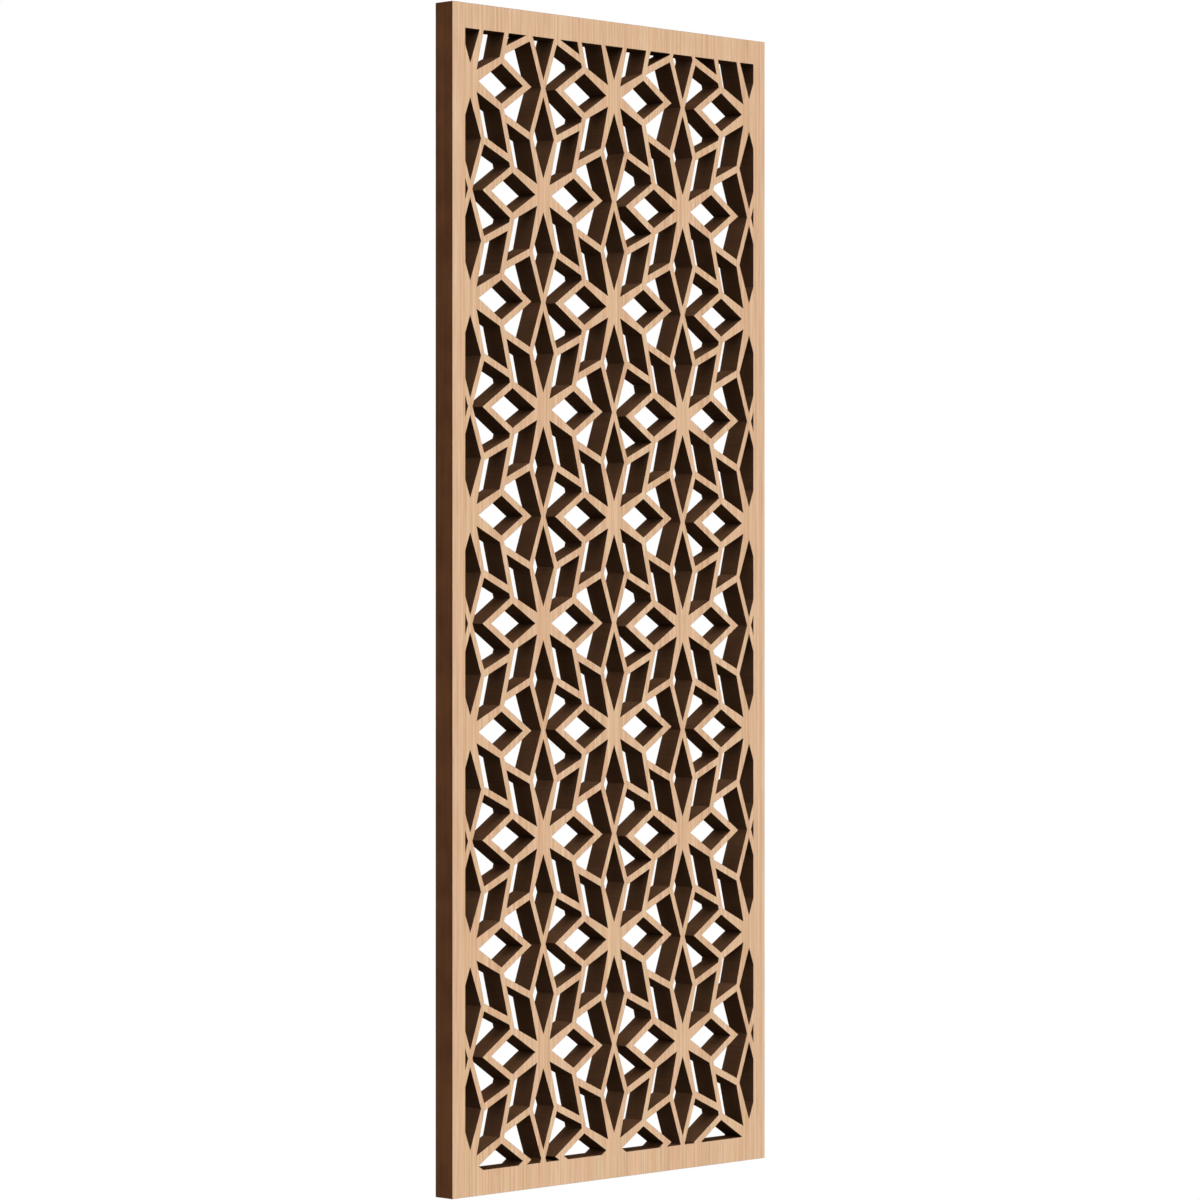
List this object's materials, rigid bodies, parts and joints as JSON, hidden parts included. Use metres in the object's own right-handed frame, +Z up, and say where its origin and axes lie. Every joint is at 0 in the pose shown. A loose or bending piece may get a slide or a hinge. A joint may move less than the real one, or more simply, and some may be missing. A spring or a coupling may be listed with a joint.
{
  "type": "fretwork wall panel",
  "caption": "Tall narrow wooden wall panel: a flat board with a plain border and a star lattice cut right through it, to hang or fix flat on a wall or between posts.",
  "frame": {"origin": "on the plane of the back face, at the middle of the top rail's back, where the panel is held to the wall", "axes": "+Z up along the panel's height, +Y out of the back face towards the wall, -Y out of the front face, +X to the right as seen from the front"},
  "size_m": [0.356, 0.0185, 0.914],
  "materials": {
    "panel": "pale straight-grained veneer with a satin lacquer on the faces, dark brown cut edges"
  },
  "bodies": {
    "root": {"fretwork_panel": "panel"}
  },
  "joints": []
}
